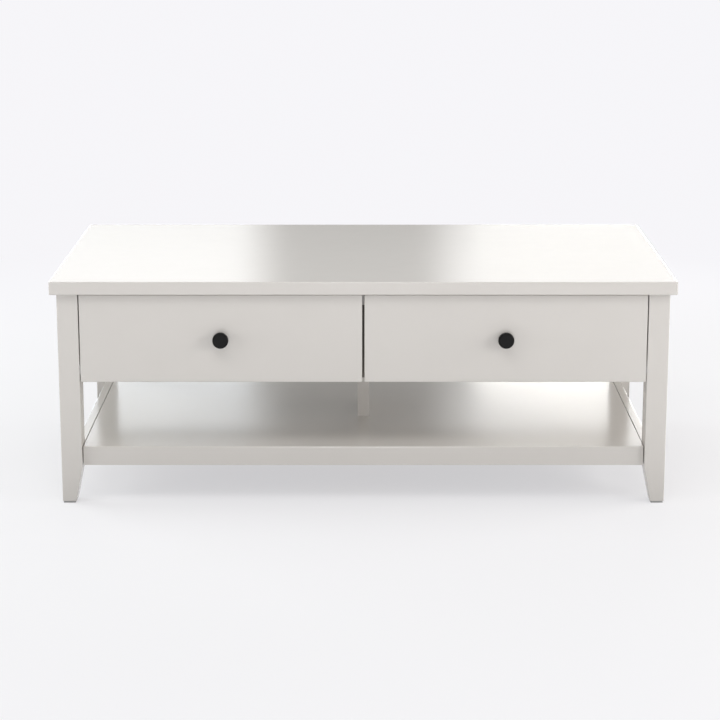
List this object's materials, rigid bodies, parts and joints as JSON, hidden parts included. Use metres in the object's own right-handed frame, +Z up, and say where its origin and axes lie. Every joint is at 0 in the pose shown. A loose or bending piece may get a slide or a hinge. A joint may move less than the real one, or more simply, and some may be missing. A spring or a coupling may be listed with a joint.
{
  "type": "coffee table",
  "caption": "White painted coffee table with drawers on telescopic slides under a flat top, round black knobs, tapered legs and an open lower shelf with a centre post.",
  "frame": {"origin": "on the floor under the middle of the whole outline, knobs included", "axes": "+X to the right for someone facing the drawers, +Y towards the back, +Z up"},
  "size_m": [1.22, 0.6694, 0.45],
  "materials": {
    "white_paint": "semi-gloss off-white paint on board",
    "drawer_birch": "clear-lacquered birch board",
    "white_board": "white-faced hardboard",
    "raw_board": "unpainted grey-brown fibreboard",
    "raw_timber": "planed unpainted softwood",
    "beech_dowel": "plain beech",
    "slide_steel": "bright zinc-plated steel",
    "zinc_screw": "zinc-plated steel",
    "black_knob": "satin black",
    "glide_plastic": "grey moulded plastic"
  },
  "bodies": {
    "frame": {"back_panel": "white_paint", "case_slide_screws": "zinc_screw", "centre_partition": "raw_board", "centre_post": "white_paint", "dowels": "beech_dowel", "foot_glides": "glide_plastic", "front_rail": "white_paint", "left_drawer_left_slide_channel": "slide_steel", "left_drawer_right_slide_channel": "slide_steel", "leg_front_left": "white_paint", "leg_front_right": "white_paint", "leg_rear_left": "white_paint", "leg_rear_right": "white_paint", "right_drawer_left_slide_channel": "slide_steel", "right_drawer_right_slide_channel": "slide_steel", "shelf_batten": "raw_timber", "shelf_cleat_left": "raw_timber", "shelf_cleat_right": "raw_timber", "shelf_front_edge": "white_paint", "shelf_panel": "white_paint", "shelf_rear_edge": "white_paint", "side_panel_left": "white_paint", "side_panel_right": "white_paint", "side_rail_left": "white_paint", "side_rail_right": "white_paint", "top_cleat_left": "raw_timber", "top_cleat_right": "raw_timber", "top_panel": "white_paint"},
    "left_drawer": {"left_drawer_bottom": "white_board", "left_drawer_box_back": "drawer_birch", "left_drawer_box_front": "drawer_birch", "left_drawer_front": "white_paint", "left_drawer_front_screws": "zinc_screw", "left_drawer_knob": "black_knob", "left_drawer_knob_screw": "zinc_screw", "left_drawer_left_side": "drawer_birch", "left_drawer_left_slide_runner": "slide_steel", "left_drawer_right_side": "drawer_birch", "left_drawer_right_slide_runner": "slide_steel", "left_drawer_slide_screws": "zinc_screw"},
    "right_drawer": {"right_drawer_bottom": "white_board", "right_drawer_box_back": "drawer_birch", "right_drawer_box_front": "drawer_birch", "right_drawer_front": "white_paint", "right_drawer_front_screws": "zinc_screw", "right_drawer_knob": "black_knob", "right_drawer_knob_screw": "zinc_screw", "right_drawer_left_side": "drawer_birch", "right_drawer_left_slide_runner": "slide_steel", "right_drawer_right_side": "drawer_birch", "right_drawer_right_slide_runner": "slide_steel", "right_drawer_slide_screws": "zinc_screw"},
    "left_slide_middles": {"left_drawer_left_slide_middle": "slide_steel", "left_drawer_right_slide_middle": "slide_steel"},
    "right_slide_middles": {"right_drawer_left_slide_middle": "slide_steel", "right_drawer_right_slide_middle": "slide_steel"}
  },
  "joints": [
    {"name": "left_drawer_slide", "type": "slide", "parent": "frame", "child": "left_drawer", "axis": [0, -1, 0], "range_m": [0, 0.5]},
    {"name": "left_middle_slide", "type": "slide", "parent": "frame", "child": "left_slide_middles", "axis": [0, -1, 0], "range_m": [0, 0.25]},
    {"name": "right_drawer_slide", "type": "slide", "parent": "frame", "child": "right_drawer", "axis": [0, -1, 0], "range_m": [0, 0.5]},
    {"name": "right_middle_slide", "type": "slide", "parent": "frame", "child": "right_slide_middles", "axis": [0, -1, 0], "range_m": [0, 0.25]}
  ],
  "couplings": [
    {"joint": "left_middle_slide", "follows": "left_drawer_slide", "ratio": 0.5},
    {"joint": "right_middle_slide", "follows": "right_drawer_slide", "ratio": 0.5}
  ]
}
